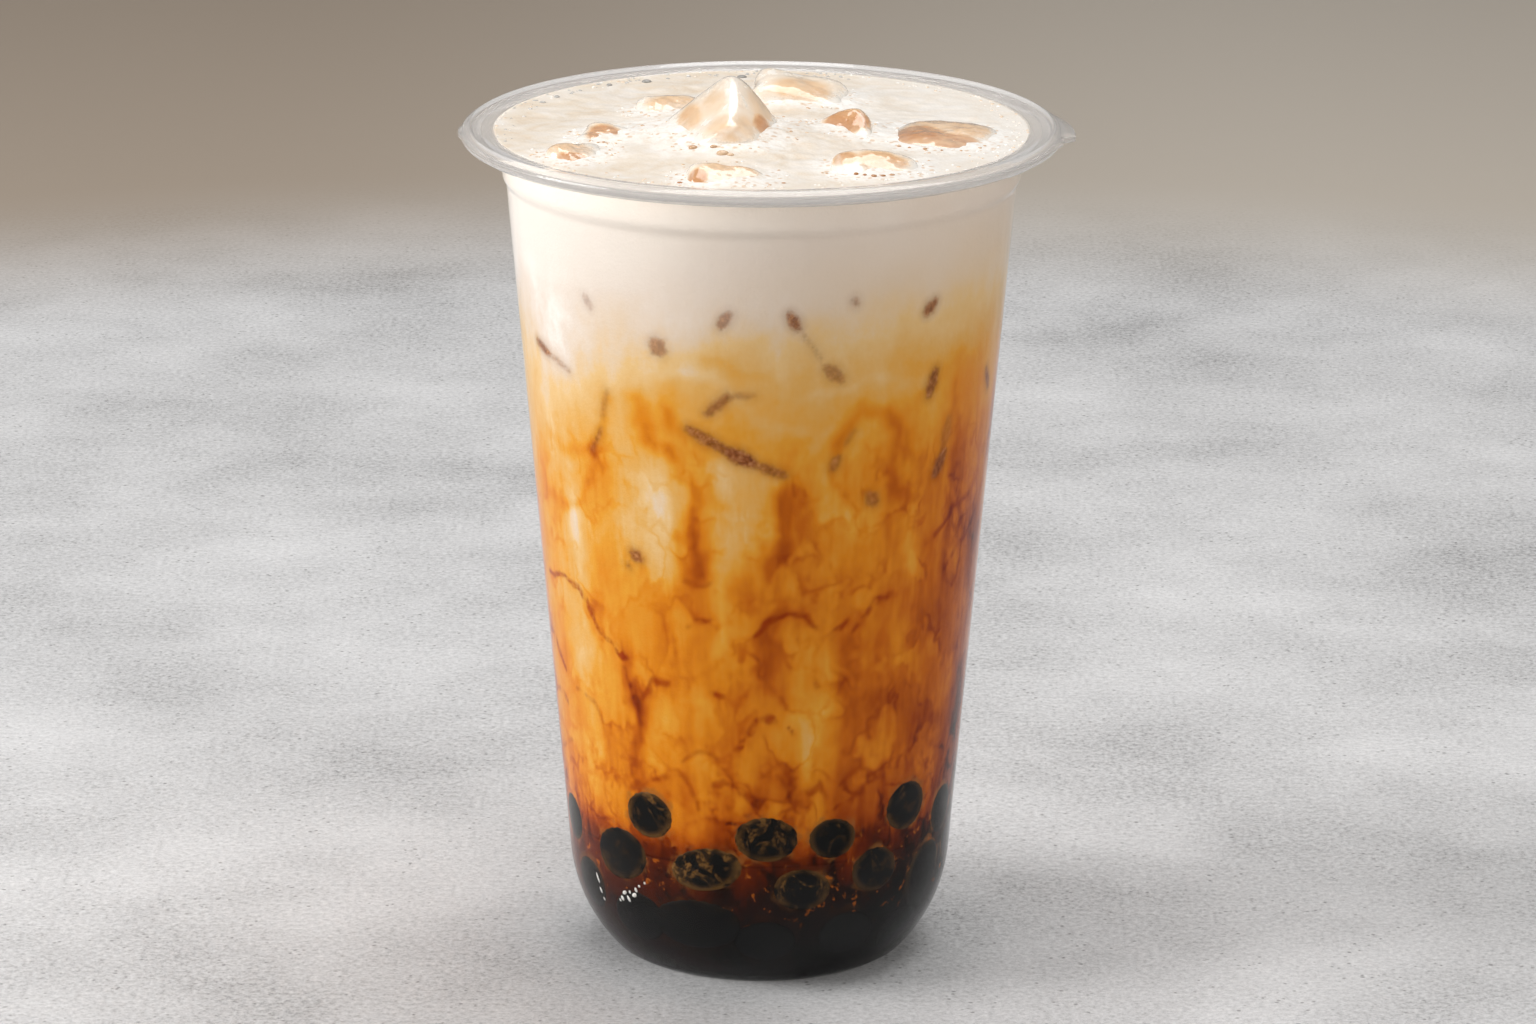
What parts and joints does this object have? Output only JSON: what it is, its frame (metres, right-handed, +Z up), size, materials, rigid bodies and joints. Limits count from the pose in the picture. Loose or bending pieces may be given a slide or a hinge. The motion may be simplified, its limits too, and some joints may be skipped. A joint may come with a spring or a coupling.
{
  "type": "bubble tea",
  "caption": "Iced milk tea over tapioca pearls in a clear flanged plastic cup, filled to the brim, with ice breaking the foam.",
  "frame": {"origin": "on the table, under the middle of the cup", "axes": "+Z up along the cup's axis, +Y away from the side that the picture shows, +X to its right, where the rim's pull tab is"},
  "size_m": [0.0973, 0.095, 0.1436],
  "materials": {
    "cup": "clear moulded plastic, glossy, slightly hazy",
    "drink": "milk tea, cream foam at the top running down into caramel brown",
    "pearls": "wet black-brown tapioca in dark syrup",
    "ice": "wet ice filmed with milk foam"
  },
  "bodies": {
    "root": {"cup": "cup", "drink": "drink", "pearls": "pearls", "ice_peak": "ice", "ice_back": "ice", "ice_middle_right": "ice", "ice_right": "ice", "ice_front_right": "ice", "ice_left": "ice", "ice_left_back": "ice", "ice_left_front": "ice", "ice_front": "ice"}
  },
  "joints": []
}
